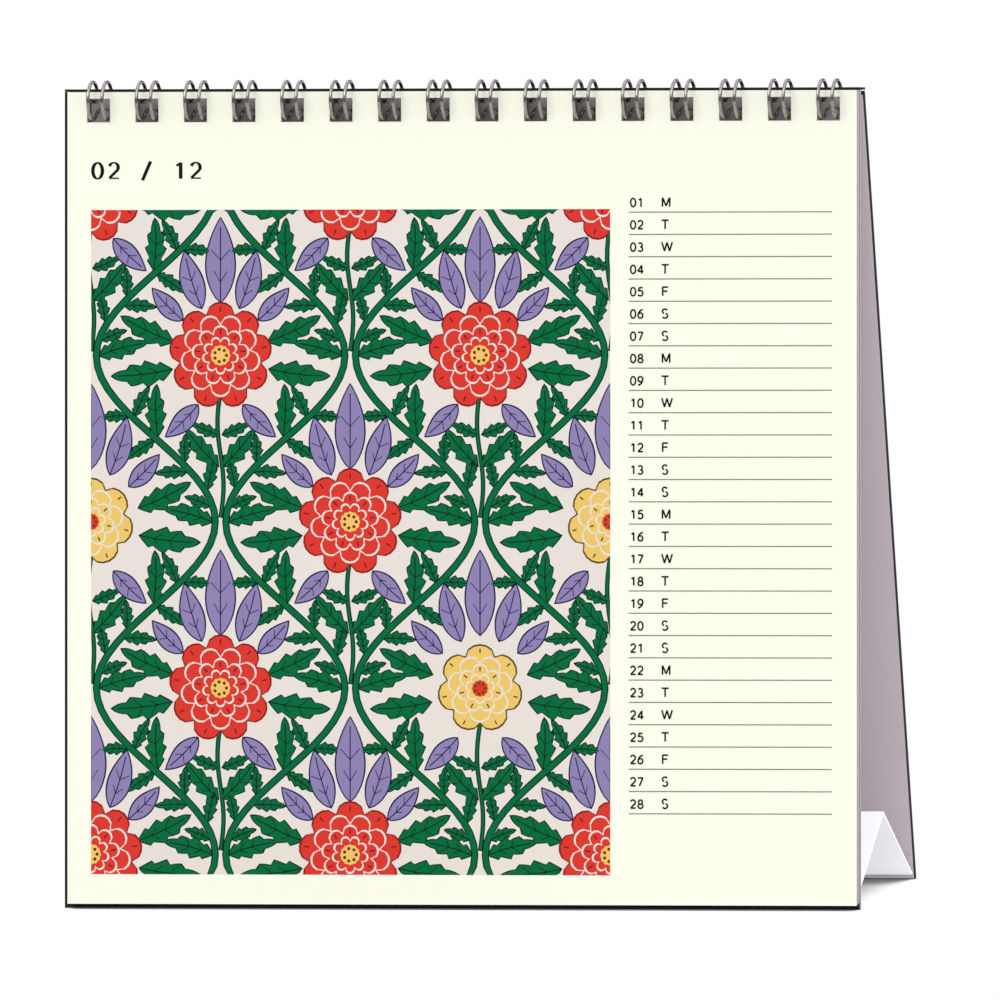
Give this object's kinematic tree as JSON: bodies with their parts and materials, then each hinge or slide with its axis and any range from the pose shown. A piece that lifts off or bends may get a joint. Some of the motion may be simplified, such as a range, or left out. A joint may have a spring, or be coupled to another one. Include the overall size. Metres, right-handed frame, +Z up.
{
  "type": "desk calendar",
  "caption": "Wire-bound easel desk calendar: a block of square month leaves on a twin-loop wire at the top of two hinged boards that stand on a folding card base.",
  "frame": {"origin": "on the table, under the middle of the calendar's box as it stands open", "axes": "+Z up, +X to the right along the boards' width as the reader sees it, +Y towards the back"},
  "size_m": [0.2074, 0.0608, 0.2076],
  "materials": {
    "printed_paper": "uncoated cream paper, printed",
    "black_paper": "matt black covering paper",
    "grey_paper": "matt lilac-grey lining paper",
    "grey_board": "raw grey board",
    "white_card": "smooth white card",
    "pewter_wire": "coated pewter-grey wire, satin"
  },
  "bodies": {
    "front_panel": {"front_cover": "black_paper", "front_board": "grey_board", "front_liner": "grey_paper", "ridge_strip": "black_paper", "gusset_front_tab": "white_card", "binding_wire": "pewter_wire"},
    "back_panel": {"back_cover": "black_paper", "back_board": "grey_board", "back_liner": "grey_paper", "gusset_rear_tab": "white_card"},
    "front_slope": {"gusset_front_slope": "white_card"},
    "rear_slope": {"gusset_rear_slope": "white_card"},
    "february": {"leaf_february": "printed_paper"},
    "march": {"leaf_march": "printed_paper"},
    "april": {"leaf_april": "printed_paper"},
    "may": {"leaf_may": "printed_paper"},
    "june": {"leaf_june": "printed_paper"},
    "july": {"leaf_july": "printed_paper"},
    "august": {"leaf_august": "printed_paper"},
    "september": {"leaf_september": "printed_paper"},
    "october": {"leaf_october": "printed_paper"},
    "november": {"leaf_november": "printed_paper"},
    "december": {"leaf_december": "printed_paper"}
  },
  "joints": [
    {"name": "easel_fold", "type": "hinge", "parent": "front_panel", "child": "back_panel", "pos_m": [0, 0.00339, 0.20292], "axis": [-1, 0, 0], "range_deg": [0, 14.7]},
    {"name": "front_slope_fold", "type": "hinge", "parent": "front_panel", "child": "front_slope", "pos_m": [0, -0.02519, 0.00473], "axis": [1, 0, 0], "range_deg": [0, 50.81]},
    {"name": "rear_slope_fold", "type": "hinge", "parent": "back_panel", "child": "rear_slope", "pos_m": [0, 0.02786, 0.0015], "axis": [-1, 0, 0], "range_deg": [0, 47.05]},
    {"name": "block_fan", "type": "hinge", "parent": "front_panel", "child": "march", "pos_m": [0, -0.00415, 0.20458], "axis": [-1, 0, 0], "range_deg": [0, 40]},
    {"name": "february_turn", "type": "hinge", "parent": "march", "child": "february", "pos_m": [0, -0.00441, 0.20462], "axis": [-1, 0, 0], "range_deg": [0, 216]},
    {"name": "april_lift", "type": "hinge", "parent": "front_panel", "child": "april", "pos_m": [0, -0.00389, 0.20455], "axis": [-1, 0, 0], "range_deg": [0, 36.01]},
    {"name": "may_lift", "type": "hinge", "parent": "front_panel", "child": "may", "pos_m": [0, -0.00363, 0.20452], "axis": [-1, 0, 0], "range_deg": [0, 32.01]},
    {"name": "june_lift", "type": "hinge", "parent": "front_panel", "child": "june", "pos_m": [0, -0.00338, 0.20448], "axis": [-1, 0, 0], "range_deg": [0, 28.01]},
    {"name": "july_lift", "type": "hinge", "parent": "front_panel", "child": "july", "pos_m": [0, -0.00312, 0.20445], "axis": [-1, 0, 0], "range_deg": [0, 24.01]},
    {"name": "august_lift", "type": "hinge", "parent": "front_panel", "child": "august", "pos_m": [0, -0.00286, 0.20442], "axis": [-1, 0, 0], "range_deg": [0, 20.01]},
    {"name": "september_lift", "type": "hinge", "parent": "front_panel", "child": "september", "pos_m": [0, -0.0026, 0.20438], "axis": [-1, 0, 0], "range_deg": [0, 16.01]},
    {"name": "october_lift", "type": "hinge", "parent": "front_panel", "child": "october", "pos_m": [0, -0.00235, 0.20435], "axis": [-1, 0, 0], "range_deg": [0, 12.01]},
    {"name": "november_lift", "type": "hinge", "parent": "front_panel", "child": "november", "pos_m": [0, -0.00209, 0.20432], "axis": [-1, 0, 0], "range_deg": [0, 8.01]},
    {"name": "december_lift", "type": "hinge", "parent": "front_panel", "child": "december", "pos_m": [0, -0.00183, 0.20428], "axis": [-1, 0, 0], "range_deg": [0, 4.01]}
  ],
  "couplings": [
    {"joint": "front_slope_fold", "follows": "easel_fold", "ratio": 3.4561},
    {"joint": "rear_slope_fold", "follows": "easel_fold", "ratio": 3.2},
    {"joint": "april_lift", "follows": "block_fan", "ratio": 0.9},
    {"joint": "may_lift", "follows": "block_fan", "ratio": 0.8},
    {"joint": "june_lift", "follows": "block_fan", "ratio": 0.7},
    {"joint": "july_lift", "follows": "block_fan", "ratio": 0.6},
    {"joint": "august_lift", "follows": "block_fan", "ratio": 0.5},
    {"joint": "september_lift", "follows": "block_fan", "ratio": 0.4},
    {"joint": "october_lift", "follows": "block_fan", "ratio": 0.3},
    {"joint": "november_lift", "follows": "block_fan", "ratio": 0.2},
    {"joint": "december_lift", "follows": "block_fan", "ratio": 0.1}
  ]
}
